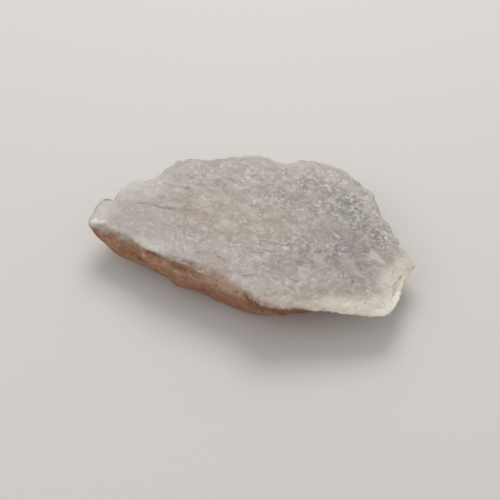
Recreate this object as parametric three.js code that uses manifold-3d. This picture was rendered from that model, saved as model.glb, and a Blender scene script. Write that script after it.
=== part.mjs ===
// A hand specimen of mangano calcite: one broken slab of massive, sugary pink calcite.
// Units are millimetres, +Z is up, X runs along the slab, and Y from its worn front face to its back.
// The stone is drawn like a contour map. The rim is the edge of the broad top face, the belly is the
// widest line of the flank under it, and the foot is where the flank runs into the face it rests on.
import * as THREE from "three";
import { ImprovedNoise } from "three/addons/math/ImprovedNoise.js";
import { mergeVertices } from "three/addons/utils/BufferGeometryUtils.js";
import Module from "manifold-3d";

// Top face: a very flat arc along the slab, highest left of the middle, with a slight sag to both sides.
const crownHeight = 11.2;
const crownX = -8;
const crownRadius = 160;
const sideSag = 0.6;
const sideSagAt = 24;
const shoulderDrop = 0.3; // how far the top face rolls down at the rim
const shoulderWidth = 0.07; // share of the way in from the rim over which it does so

// The grain of the rock runs down to the right in plan, and its lumps are drawn out along it.
const grainTurn = THREE.MathUtils.degToRad(-22);
const grainStretch = 1.9;

// Relief: [size of one lump, its height] from the broadest to the finest.
const topRelief = [[9, 0.36], [4.2, 0.24], [2.1, 0.14]];
const flankRelief = [[9, 1.3], [4.2, 0.8], [2.4, 0.4]];
const smoothUndercut = 2.5; // flank relief dies out where the belly lies this far inside the rim

// Mesh fineness: cells along and across the broad faces, and down the flank on each side of the belly.
const cellsAlong = 64;
const cellsAcross = 40;
const cellsAboveBelly = 3;
const cellsBelowBelly = 4;

// Where the spokes of the plan start from, near the stone's middle.
const hub = new THREE.Vector2(-1, -1);

// Edge of the top face, [x, y], anticlockwise from the left tip.
const rim = [
  // left tip, then the worn front edge down to the lower right corner
  [-32.3, 1.3], [-31.3, 0.6], [-29.7, 0.3], [-28.0, -0.2], [-26.6, -1.1], [-24.5, -2.0], [-22.6, -3.9],
  [-20.8, -5.8], [-19.0, -6.7], [-17.0, -8.0], [-14.2, -9.3], [-11.5, -10.5], [-9.7, -11.9], [-6.5, -12.9],
  [-4.0, -14.6], [-2.2, -15.4], [-0.9, -17.1], [0.4, -18.7], [2.4, -19.9], [5.6, -20.2], [7.9, -19.8],
  [10.9, -20.2], [15.0, -20.2], [18.8, -20.4], [21.6, -20.5], [24.1, -20.3], [26.1, -19.8],
  // thin right edge up to the right tip
  [27.2, -18.5], [28.1, -16.7], [29.0, -14.7], [29.8, -12.0], [30.8, -9.5], [32.0, -7.8], [32.9, -6.7],
  // stepped edge from the right tip to the right-hand lobe
  [32.0, -5.9], [31.1, -4.3], [30.6, -3.2], [29.7, -2.5], [29.9, -1.4], [29.0, -0.2], [28.3, 1.8],
  [27.0, 3.9], [25.8, 5.9], [25.9, 6.8], [25.4, 8.4], [25.4, 9.8], [24.6, 11.1], [22.8, 12.1], [21.7, 12.4],
  [21.0, 14.1], [18.7, 16.3], [16.6, 17.0], [15.0, 17.7], [12.6, 18.0], [10.0, 17.6],
  // open notch, then the long back edge with its small scallops
  [8.4, 16.6], [6.7, 16.4], [5.5, 16.5], [5.0, 17.3], [3.2, 18.2], [0.4, 18.3], [-2.9, 17.8], [-5.2, 17.3],
  [-7.5, 17.3], [-9.6, 17.1], [-10.9, 17.6], [-12.6, 17.5], [-14.0, 16.9], [-15.2, 16.7], [-17.3, 14.4],
  [-18.6, 12.8], [-20.1, 11.6], [-22.4, 11.3], [-24.0, 11.3], [-25.0, 10.7], [-26.3, 9.0], [-27.0, 7.4],
  // sharp notch where the split in the top face runs out, then the round left lobe
  [-27.2, 6.6], [-27.8, 6.9], [-28.6, 7.4], [-29.6, 7.2], [-30.3, 6.7], [-31.1, 5.3], [-31.8, 3.6],
];

// Widest line of the flank, [x, y, z], from the left tip round the same way. To the right of x = 12 it
// lies well inside the rim, which overhangs it as a thin, sharp edge.
const belly = [
  [-32.2, 1.3, 8.2], [-30.6, -0.6, 7.4], [-28.6, -2.4, 6.4], [-26.2, -3.9, 5.8], [-23.0, -5.4, 5.3],
  [-20.0, -7.1, 5.0], [-17.0, -8.6, 5.0], [-14.2, -11.0, 5.0], [-11.4, -12.5, 5.2], [-8.5, -13.9, 5.6],
  [-5.4, -15.3, 6.0], [-2.4, -17.0, 6.5], [-0.2, -18.5, 7.0], [2.5, -19.5, 7.4], [5.8, -20.3, 7.9],
  [8.6, -20.2, 8.4], [11.4, -19.9, 8.6], [14.4, -18.6, 7.6], [18.4, -17.6, 5.9], [23.6, -17.2, 4.6],
  [26.4, -15.2, 4.4], [28.3, -11.6, 4.3], [30.4, -7.4, 4.3], [30.9, -6.2, 4.3], [29.2, -2.2, 4.5],
  [28.2, 2.6, 4.6], [26.6, 7.6, 4.6], [24.6, 12.4, 4.9], [20.0, 16.4, 5.4], [13.0, 18.9, 5.8],
  [6.0, 17.9, 6.2], [-1.0, 19.1, 5.6], [-9.0, 18.3, 5.2], [-16.0, 16.5, 5.8], [-21.0, 12.6, 6.2],
  [-26.2, 10.2, 6.6], [-28.4, 7.8, 7.0], [-30.8, 6.0, 7.4], [-31.9, 3.8, 7.8],
];

// Where the flank runs into the underside, [x, y], from the left end round the same way.
const foot = [
  [-24.6, 3.0], [-22.0, -1.4], [-16.5, -5.4], [-9.0, -9.8], [-2.0, -13.4], [6.0, -14.2], [13.0, -13.0],
  [18.6, -9.6], [20.2, -3.0], [18.4, 4.6], [14.6, 11.2], [6.0, 14.6], [-4.0, 15.6], [-13.0, 13.2],
  [-20.0, 9.0],
];
const footDepth = 0.9; // how far the unbroken underside bulges below the face it rests on

// Calcite splits along three directions that stand 75 degrees to each other. One lies close to the top
// face, so the other two lean 15 degrees, and face ways that are 78 degrees apart in plan.
const cleavageLean = 15;
const cleavageTurn = 78;
const firstCleavage = 60; // the way that the first of them faces, anticlockwise from +X

// Flat faces that broken-off pieces left: a point on the face, the way it faces in plan, and its lean,
// both in degrees. A lean above 0 faces the sky, below 0 the ground.
const flatBreaks = [
  { through: [23.6, 15.4, 3.6], facing: firstCleavage, lean: -cleavageLean },
  { through: [-22.4, 12.6, 2.8], facing: firstCleavage + cleavageTurn, lean: -2 * cleavageLean },
  { through: [-3.0, 17.9, 3.6], facing: 94, lean: -18 },
  { through: [9.4, 16.9, 3.0], facing: 84, lean: -26 },
  { through: [27.6, 4.0, 2.4], facing: 16, lean: -42 },
  { through: [26.6, -11.6, 2.6], facing: 332, lean: -60 },
  { through: [17.0, -15.6, 2.6], facing: 285, lean: -56 },
  { through: [4.4, -17.6, 3.6], facing: 262, lean: -34 },
  { through: [-6.4, -13.4, 2.6], facing: firstCleavage + 180, lean: -3 * cleavageLean },
  { through: [-21.4, -4.2, 2.4], facing: 236, lean: -54 },
  { through: [-28.4, 3.0, 4.0], facing: 190, lean: -50 },
  { through: [0, 0, 0], facing: 0, lean: -90 }, // the flat face it rests on
];
const breakSize = 120; // wider than the stone, so that a break goes right across it

// Low ledges in the top face. Each drops away to the right of the line between its ends, by its depth
// halfway along and by nothing at the ends, and levels out again at its reach from the line.
const ledges = [
  { from: [16.0, -6.8], to: [31.6, -8.4], depth: 0.26, reach: 9 },
  { from: [21.6, -1.2], to: [23.6, -7.4], depth: 0.3, reach: 4 },
  { from: [7.6, 6.4], to: [18.8, 2.2], depth: 0.24, reach: 6 },
  { from: [-8.4, 14.6], to: [2.4, 6.8], depth: 0.28, reach: 7 },
  { from: [-4.4, 6.0], to: [7.4, 0.6], depth: 0.2, reach: 6 },
  { from: [-10.2, -3.6], to: [-3.0, -12.4], depth: 0.26, reach: 6 },
  { from: [17.4, 12.8], to: [25.2, 5.4], depth: 0.3, reach: 6 },
  { from: [7.0, 15.4], to: [16.0, 10.4], depth: 0.22, reach: 5 },
  { from: [2.0, -6.6], to: [13.4, -11.6], depth: 0.24, reach: 7 },
  { from: [-20.0, 10.0], to: [-9.6, 8.0], depth: 0.18, reach: 4 },
];
const ledgeWall = 0.9; // how far the drop itself takes
const ledgeWobble = [[3.4, 2.6], [1.6, 1.2]]; // lumps that make the line of a ledge wander

// Pieces that came off the top face in one go, and left a smooth face. Each is an outline in plan, and
// the plane of the face that it left, through three points.
const flakes = [
  {
    // the split that starts in the sharp notch, and the smooth strip in front of it
    outline: [[-27.2, 6.6], [-25.7, 5.9], [-24.1, 5.6], [-20.4, 5.0], [-16.3, 3.8], [-11.9, 2.9], [-6.2, 1.5],
      [-9.0, -16.0], [-24.0, -14.0], [-38.0, -4.0], [-38.0, 11.0], [-29.0, 11.0]],
    floor: [[-27.0, 6.4, 9.78], [-7.0, 1.7, 11.3], [-22.0, -4.0, 10.25]],
  },
  {
    // the thin chip along the sharp right edge
    outline: [[26.2, -18.9], [26.9, -16.0], [27.4, -14.2], [28.4, -12.3], [29.6, -10.3], [31.2, -7.9],
      [40.0, -8.0], [40.0, -24.0], [25.4, -24.0]],
    floor: [[28.7, -12.0, 6.4], [29.9, -12.0, 6.3], [27.0, -17.0, 6.9]],
  },
  {
    // the pale facet with three corners, near the right tip
    outline: [[23.2, -6.5], [25.3, -7.0], [26.9, -7.9], [25.3, -5.5], [23.9, -3.5]],
    floor: [[23.2, -6.5, 7.9], [26.7, -7.7, 7.1], [23.9, -3.7, 7.7]],
  },
];
const flakeTop = 14; // clear above the highest point of the stone
const onFace = 1 - 1e-6; // from here on, a coordinate of the blank lies on one of its faces
const weldDistance = 1e-4;
const contourSamples = 720;

const lumps = new ImprovedNoise();

// Sum of the lumps in a relief list at a point, drawn out along the grain of the rock.
function reliefAt(relief, x, y, z) {
  const along = (x * Math.cos(grainTurn) + y * Math.sin(grainTurn)) / grainStretch;
  const across = y * Math.cos(grainTurn) - x * Math.sin(grainTurn);
  return relief.reduce(
    (sum, [size, height]) => sum + height * lumps.noise(along / size, across / size, z / size + size),
    0,
  );
}

function topHeight(x, y) {
  const arc = (x - crownX) ** 2 / (2 * crownRadius);
  return crownHeight - arc - sideSag * (y / sideSagAt) ** 2;
}

// A closed line through the points, with corners only slightly rounded.
function closedLine(points, rounding) {
  const corners = points.map(([x, y, z = 0]) => new THREE.Vector3(x, y, z));
  const line = new THREE.CatmullRomCurve3(corners, true, "catmullrom", rounding);
  line.arcLengthDivisions = 3 * contourSamples;
  return line;
}

// The signed turn from one direction to another, between half a turn each way.
function turnBetween(from, to) {
  return Math.atan2(Math.sin(to - from), Math.cos(to - from));
}

// For a contour, the function that gives its point in a given direction from the hub.
function contourByDirection(points, rounding) {
  const samples = closedLine(points, rounding).getSpacedPoints(contourSamples);
  const bearings = samples.map((p) => Math.atan2(p.y - hub.y, p.x - hub.x));
  return (bearing) => {
    for (let i = 0; i < samples.length - 1; i++) {
      const span = turnBetween(bearings[i], bearings[i + 1]);
      const part = turnBetween(bearings[i], bearing);
      if (span > 0 && part >= 0 && part <= span) return samples[i].clone().lerp(samples[i + 1], part / span);
    }
    throw new Error("the contour has no point in the direction " + bearing);
  };
}

// How far round the blank's outline a point of it lies, from 0 to 1, anticlockwise from its front left.
function shareAround(u, v) {
  const along = cellsAlong;
  const across = cellsAcross;
  let cells;
  if (v <= -onFace) cells = ((u + 1) / 2) * along;
  else if (u >= onFace) cells = along + ((v + 1) / 2) * across;
  else if (v >= onFace) cells = along + across + ((1 - u) / 2) * along;
  else cells = 2 * along + across + ((1 - v) / 2) * across;
  return cells / (2 * (along + across));
}

const rimLine = closedLine(rim, 0.3);
const bellyAt = contourByDirection(belly, 0.5);
const footAt = contourByDirection(foot, 0.5);
const frontLeftShare = 0.93; // where on the rim the blank's front left corner falls
const spokes = new Map();

// One spoke of the plan: its points on the rim, the belly and the foot, the way it points, and how
// rough its flank is.
function spokeAt(u, v) {
  const share = (shareAround(u, v) + frontLeftShare) % 1;
  const key = share.toFixed(6);
  if (!spokes.has(key)) {
    const onRim = rimLine.getPointAt(share);
    const bearing = Math.atan2(onRim.y - hub.y, onRim.x - hub.x);
    const outward = new THREE.Vector3(Math.cos(bearing), Math.sin(bearing), 0);
    const onBelly = bellyAt(bearing);
    const undercut = (onRim.x - onBelly.x) * outward.x + (onRim.y - onBelly.y) * outward.y;
    const roughness = 1 - THREE.MathUtils.smoothstep(undercut, 0, smoothUndercut);
    spokes.set(key, { onRim, onBelly, onFoot: footAt(bearing), outward, roughness });
  }
  return spokes.get(key);
}

// How far the ledges lower the top face at a point.
function ledgeDrop(x, y) {
  const here = new THREE.Vector2(x, y);
  return ledges.reduce((sum, { from, to, depth, reach }) => {
    const start = new THREE.Vector2(...from);
    const run = new THREE.Vector2(...to).sub(start);
    const along = here.clone().sub(start).dot(run) / run.lengthSq();
    const wobble = reliefAt(ledgeWobble, x, y, reach);
    const beyond = wobble - run.clone().normalize().cross(here.clone().sub(start));
    if (along <= 0 || along >= 1 || beyond <= 0 || beyond >= reach) return sum;
    const wall = THREE.MathUtils.smoothstep(beyond, 0, ledgeWall);
    return sum + depth * 4 * along * (1 - along) * wall * (1 - beyond / reach);
  }, 0);
}

// A point of the top face, from 0 at the hub to 1 at the rim.
function topPoint(spoke, share) {
  const x = THREE.MathUtils.lerp(hub.x, spoke.onRim.x, share);
  const y = THREE.MathUtils.lerp(hub.y, spoke.onRim.y, share);
  const shoulder = shoulderDrop * THREE.MathUtils.smoothstep(share, 1 - shoulderWidth, 1);
  const z = topHeight(x, y) - shoulder - ledgeDrop(x, y) + reliefAt(topRelief, x, y, 0);
  return new THREE.Vector3(x, y, z);
}

// A point of the flank, from 0 at the foot to 1 at the rim.
function flankPoint(spoke, height) {
  const bellyShare = cellsBelowBelly / (cellsAboveBelly + cellsBelowBelly);
  const point =
    height >= bellyShare
      ? spoke.onBelly.clone().lerp(topPoint(spoke, 1), (height - bellyShare) / (1 - bellyShare))
      : footPoint(spoke, 1).lerp(spoke.onBelly, height / bellyShare);
  const swell = Math.sin(Math.PI * height) * spoke.roughness;
  return point.addScaledVector(spoke.outward, swell * reliefAt(flankRelief, point.x, point.y, point.z));
}

// A point of the unbroken underside, from 0 at the hub to 1 where the flank runs into it.
function footPoint(spoke, share) {
  const x = THREE.MathUtils.lerp(hub.x, spoke.onFoot.x, share);
  const y = THREE.MathUtils.lerp(hub.y, spoke.onFoot.y, share);
  return new THREE.Vector3(x, y, -footDepth);
}

// The same surface with each corner point held once.
function welded(geometry) {
  const bare = geometry.clone();
  bare.deleteAttribute("normal");
  bare.deleteAttribute("uv");
  return mergeVertices(bare, weldDistance);
}

// The unbroken block: a segmented box whose top, flank and underside are laid onto the contours.
function blockGeometry() {
  const cellsDown = cellsAboveBelly + cellsBelowBelly;
  const blank = welded(new THREE.BoxGeometry(2, 2, 2, cellsAlong, cellsAcross, cellsDown));
  const position = blank.getAttribute("position");
  for (let i = 0; i < position.count; i++) {
    const [u, v, w] = [position.getX(i), position.getY(i), position.getZ(i)];
    const share = Math.max(Math.abs(u), Math.abs(v));
    const spoke = share > 0 ? spokeAt(u / share, v / share) : spokeAt(1, 0);
    let point;
    if (w >= onFace) point = topPoint(spoke, share);
    else if (w <= -onFace) point = footPoint(spoke, share);
    else point = flankPoint(spoke, (w + 1) / 2);
    position.setXYZ(i, point.x, point.y, point.z);
  }
  return blank;
}

const wasm = await Module();
wasm.setup();

function solidOf(geometry) {
  const closed = welded(geometry);
  const vertProperties = new Float32Array(closed.getAttribute("position").array);
  const triVerts = new Uint32Array(closed.index.array);
  return new wasm.Manifold(new wasm.Mesh({ numProp: 3, vertProperties, triVerts }));
}

function geometryOf(solid) {
  const mesh = solid.getMesh();
  const geometry = new THREE.BufferGeometry();
  geometry.setAttribute("position", new THREE.BufferAttribute(mesh.vertProperties, mesh.numProp));
  geometry.setIndex(new THREE.BufferAttribute(mesh.triVerts, 1));
  return geometry;
}

// What lies beyond a flat break: a big block whose near face is the break.
function beyondBreak({ through, facing, lean }) {
  const turn = THREE.MathUtils.degToRad(facing);
  const tilt = THREE.MathUtils.degToRad(lean);
  const level = Math.cos(tilt);
  const outward = new THREE.Vector3(Math.cos(turn) * level, Math.sin(turn) * level, Math.sin(tilt));
  const block = new THREE.Mesh(new THREE.BoxGeometry(breakSize, breakSize, breakSize));
  block.quaternion.setFromUnitVectors(new THREE.Vector3(0, 0, 1), outward);
  block.position.set(...through).addScaledVector(outward, breakSize / 2);
  block.updateMatrixWorld();
  return block.geometry.applyMatrix4(block.matrixWorld);
}

// What a flake took away: a prism over its outline, whose underside is the face that it left.
function flakeGeometry({ outline, floor }) {
  const shape = new THREE.Shape(outline.map(([x, y]) => new THREE.Vector2(x, y)));
  const prism = new THREE.ExtrudeGeometry(shape, { depth: 1, bevelEnabled: false });
  const face = new THREE.Plane().setFromCoplanarPoints(...floor.map((p) => new THREE.Vector3(...p)));
  const position = prism.getAttribute("position");
  for (let i = 0; i < position.count; i++) {
    const [x, y] = [position.getX(i), position.getY(i)];
    const floorHeight = -(face.constant + face.normal.x * x + face.normal.y * y) / face.normal.z;
    position.setZ(i, position.getZ(i) > 0.5 ? flakeTop : floorHeight);
  }
  return prism;
}

function brokenSlab() {
  const taken = [...flatBreaks.map(beyondBreak), ...flakes.map(flakeGeometry)];
  return taken.reduce((solid, piece) => solid.subtract(solidOf(piece)), solidOf(blockGeometry()));
}

const calcite = new THREE.MeshStandardMaterial({ color: 0xd9cbc8, roughness: 0.55, metalness: 0 });

// The origin is the middle of the stone's own box, on the surface it lies on.
const slabGeometry = geometryOf(brokenSlab());
slabGeometry.computeBoundingBox();
const middle = slabGeometry.boundingBox.getCenter(new THREE.Vector3());
slabGeometry.translate(-middle.x, -middle.y, -slabGeometry.boundingBox.min.z);

const specimen = new THREE.Group();
const slab = new THREE.Mesh(slabGeometry, calcite);
slab.name = "mangano_calcite";
specimen.add(slab);

export default specimen;
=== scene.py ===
import math

import bpy
import numpy as np
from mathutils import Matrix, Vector, kdtree, noise


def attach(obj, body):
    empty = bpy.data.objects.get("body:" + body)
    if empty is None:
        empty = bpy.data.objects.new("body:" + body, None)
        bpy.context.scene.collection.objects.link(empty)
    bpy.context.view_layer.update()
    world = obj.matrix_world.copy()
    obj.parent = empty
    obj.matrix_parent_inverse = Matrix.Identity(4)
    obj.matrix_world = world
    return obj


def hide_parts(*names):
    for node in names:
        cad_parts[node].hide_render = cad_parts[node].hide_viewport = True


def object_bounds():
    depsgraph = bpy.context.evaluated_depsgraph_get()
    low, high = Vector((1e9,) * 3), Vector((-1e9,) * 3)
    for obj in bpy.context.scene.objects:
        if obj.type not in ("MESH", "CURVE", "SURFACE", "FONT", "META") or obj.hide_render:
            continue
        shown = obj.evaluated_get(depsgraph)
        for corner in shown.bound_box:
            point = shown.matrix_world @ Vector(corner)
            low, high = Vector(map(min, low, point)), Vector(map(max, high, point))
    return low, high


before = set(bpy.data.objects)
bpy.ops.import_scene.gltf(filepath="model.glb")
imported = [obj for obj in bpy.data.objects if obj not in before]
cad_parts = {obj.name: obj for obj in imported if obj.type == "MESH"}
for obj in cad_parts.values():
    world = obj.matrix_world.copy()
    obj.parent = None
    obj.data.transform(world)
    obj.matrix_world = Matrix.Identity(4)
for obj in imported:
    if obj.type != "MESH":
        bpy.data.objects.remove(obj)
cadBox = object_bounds()
mm = 0.001    # in metres, which all of Blender's lengths are here
nodeName = "mangano_calcite"
print("frame loaded, box in mm", [round(v / mm, 2) for corner in cadBox for v in corner])


def toLinear(hexColour):
    parts = [int(hexColour[i:i + 2], 16) / 255 for i in (1, 3, 5)]
    return [p / 12.92 if p <= 0.04045 else ((p + 0.055) / 1.055) ** 2.4 for p in parts] + [1.0]


def smoothstep(start, full, values):    # 0 at start, 1 at full, either way round
    t = np.clip((values - start) / (full - start), 0, 1)
    return t * t * (3 - 2 * t)


# The fine mesh, and how deep everything is cut into it
stone = {
    "voxel": 0.245,           # mm, cell of the fine mesh
    "weld": 0.002,            # mm, points of the plain solid that are closer are joined
    "smoothRounds": 3,        # takes the flat triangles out of the plain solid
    "smoothShare": 0.5,       # how far each round takes a point to the middle of its neighbours
    "lineationTurn": -22.0,   # degrees, the way the rock's lineation runs in plan
    "grainStretch": 1.35,     # grains are this much longer along it
    "grains": [               # size in mm, lean of a grain's face in degrees, step in mm
        (1.9, 2.3, 0.016),
        (1.0, 3.2, 0.016),
        (0.55, 3.0, 0.010),
    ],
    "sideGrains": [           # the same, coarser, where the sides broke
        (3.4, 7.0, 0.05),
        (1.6, 7.0, 0.04),
    ],
    "grainFill": 0.7,         # a grain covers this share of its size squared
    "grainPlay": 0.25,        # share of its size that a grain strays, and the most that its face rises
    "grainyRange": (0.05, 1.5),    # least and most of the grain's height that a place gets
    "sideGrainMost": 0.22,    # mm, the most that a coarse facet rises or sinks
    "sideGrainRoom": 0.5,     # mm to the rim that the facets and ledges leave alone
    "swell": [(4.2, 0.09), (2.1, 0.06), (1.1, 0.035)],    # size and height of low lumps, mm
    "swellLeast": 0.3,        # share of it that the smoothest places keep
    "flankSwell": [(3.0, 0.16), (1.2, 0.08), (0.6, 0.03)],    # the same on the sides, which are lumpier
    "bumpHeight": 0.3,        # mm, the lumps placed on the worn flank
    "cleavage": [             # ledges on the broken sides: the way they climb, spacing and height in mm
        ((0.30, 0.15, 0.94), 1.9, 0.14),
        ((0.85, -0.45, 0.25), 3.1, 0.18),
    ],
    "ledgeRise": 0.8,         # share of a ledge's spacing over which it rises, before it drops again
    "ledgeWander": (0.35, 4.0),    # share of the spacing that ledges wander, in lumps of so many mm
    "ledgePatch": (5.0, -0.25, 0.25),    # size in mm of the patches that have ledges, start and full
    "rimChips": [(1.7, 0.26), (0.7, 0.14)],    # size and depth of the nicks along the rim, mm
    "chipPatch": (3.0, -0.05, 0.2),    # shift of the noise that places them, start and full
    "chipReach": 0.35,        # mm to both sides of the rim
    "cut": {                  # mm, how deep each mark is cut; below 0 it stands out
        "nicks": 0.55,
        "pits": 0.35,
        "splitCrack": 0.12,
        "edgeCrack": 0.12,
        "darkLines": 0.1,
        "paleLines": -0.08,
    },
    "strokeEnds": (-0.05, 0.15),    # shares of a fine mark's way over which it fades in, at both ends
    "crackWidth": 0.17,       # mm, half the width of the cracks
    "healedWidth": 1.8,       # mm, half the width of the strip where the old split is eased
    "healedReach": 1.2,       # mm, how far it is eased over
    "edgeRoom": 0.04,         # mm, keeps the grain inside the box of the plain solid
    "rimOut": 0.3,            # mm, gives the rims back what the smoothing takes off them
    "leastLean": 0.2,         # below this share of lean a point is hardly moved outwards
    "restFace": (0.05, 0.7),    # mm above the floor where the cutting starts and is full
    "crownTop": 11.2,         # mm, height of the gently arched broad face
    "crownAt": -8.0,          # mm along the slab, where it is that high
    "crownRadius": 160.0,     # mm, of its arch along the slab
    "crownFall": (24.0, 0.6),    # mm out to the front and back, and the mm that it has fallen there
    "seed": 11,               # of the grains
}


def meshArrays(mesh):    # points in mm, and normals
    co = np.empty(len(mesh.vertices) * 3)
    mesh.vertices.foreach_get("co", co)
    normals = np.empty(len(mesh.vertices) * 3)
    mesh.vertices.foreach_get("normal", normals)
    return co.reshape(-1, 3) / mm, normals.reshape(-1, 3)


def fineCopy(source, name):
    piece = bpy.data.objects.new(name, source.data.copy())
    bpy.context.scene.collection.objects.link(piece)
    weld = piece.modifiers.new("weld", "WELD")
    weld.merge_threshold = stone["weld"] * mm
    remesh = piece.modifiers.new("remesh", "REMESH")
    remesh.mode = "VOXEL"
    remesh.voxel_size = stone["voxel"] * mm
    smooth = piece.modifiers.new("smooth", "SMOOTH")
    smooth.factor = stone["smoothShare"]
    smooth.iterations = stone["smoothRounds"]
    evaluated = piece.evaluated_get(bpy.context.evaluated_depsgraph_get())
    fine = bpy.data.meshes.new_from_object(evaluated)
    piece.modifiers.clear()
    piece.data = fine
    fine.name = name
    return piece


slab = fineCopy(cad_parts[nodeName], "calcite_slab")
co, normals = meshArrays(slab.data)
x, y, z = co.T    # views, which follow co while it is changed in place
pointCount = len(co)
edges = np.empty(len(slab.data.edges) * 2, dtype=np.int64)
slab.data.edges.foreach_get("vertices", edges)
edgeStart, edgeEnd = edges.reshape(-1, 2).T
neighbours = np.bincount(edgeStart, minlength=pointCount) + np.bincount(edgeEnd, minlength=pointCount)
print("fine mesh:", pointCount, "points,", 2 * len(slab.data.polygons), "triangles")


# Measuring on the mesh
def blurred(values, reach):    # mean along the surface, reach in mm
    rounds = max(1, round((2 * reach / stone["voxel"]) ** 2))
    for _ in range(rounds):
        total = np.bincount(edgeStart, values[edgeEnd], pointCount)
        total += np.bincount(edgeEnd, values[edgeStart], pointCount)
        values = 0.5 * values + 0.5 * total / neighbours
    return values


def lumpsAt(points, size, shift=0.0):    # about -1 to 1
    return np.array([noise.noise(Vector((p[0] / size + shift, p[1] / size, p[2] / size))) for p in points])


def lumpSum(points, lumps):    # lumps of several sizes, each with its height, size in mm and shift
    return sum(height * lumpsAt(points, size, shift) for height, size, shift in lumps)


def lineated(points, stretch):    # turned so that the lineation is the first axis, and squeezed along it
    turn = math.radians(stone["lineationTurn"])
    along = (points[:, 0] * math.cos(turn) + points[:, 1] * math.sin(turn)) / stretch
    across = points[:, 1] * math.cos(turn) - points[:, 0] * math.sin(turn)
    return np.column_stack([along, across, points[:, 2]])


# Distance from a line in plan, above 0 on the left of it, and the share of the way along
def fromLine(points):
    nearest = np.full(pointCount, np.inf)
    side = np.ones(pointCount)
    along = np.zeros(pointCount)
    steps = list(zip(points[:-1], points[1:]))
    for i, ((ax, ay), (bx, by)) in enumerate(steps):
        dx, dy = bx - ax, by - ay
        t = np.clip(((x - ax) * dx + (y - ay) * dy) / (dx * dx + dy * dy), 0, 1)
        away = np.hypot(x - ax - t * dx, y - ay - t * dy)
        closer = away < nearest
        nearest = np.where(closer, away, nearest)
        side = np.where(closer, np.sign(dx * (y - ay) - dy * (x - ax)), side)
        along = np.where(closer, (i + t) / len(steps), along)
    return nearest * side, along


# Soft ovals, each with its middle, half length, half width, turn in degrees and strength
def spots(ovals, along=x, over=y):
    total = np.zeros(pointCount)
    for a, b, rx, ry, turn, strength in ovals:
        c, s = math.cos(math.radians(turn)), math.sin(math.radians(turn))
        u = ((along - a) * c + (over - b) * s) / rx
        v = ((over - b) * c - (along - a) * s) / ry
        total += strength * np.exp(-(u * u + v * v))
    return np.clip(total, 0, 1)


# Fine marks that fade at their ends, each with the points of its line, its half width and its strength
def strokes(marks):
    total = np.zeros(pointCount)
    for points, width, strength in marks:
        away, along = fromLine(points)
        ends = smoothstep(*stone["strokeEnds"], along) * smoothstep(*stone["strokeEnds"], 1 - along)
        total = np.maximum(total, strength * np.exp(-(away / width) ** 2) * ends)
    return total


def inside(corners, soft):    # 1 inside a convex outline drawn anticlockwise, soft in mm
    depth = np.full(pointCount, np.inf)
    for (ax, ay), (bx, by) in zip(corners, corners[1:] + corners[:1]):
        length = math.hypot(bx - ax, by - ay)
        depth = np.minimum(depth, ((bx - ax) * (y - ay) - (by - ay) * (x - ax)) / length)
    return smoothstep(-soft, soft, depth)


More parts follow.
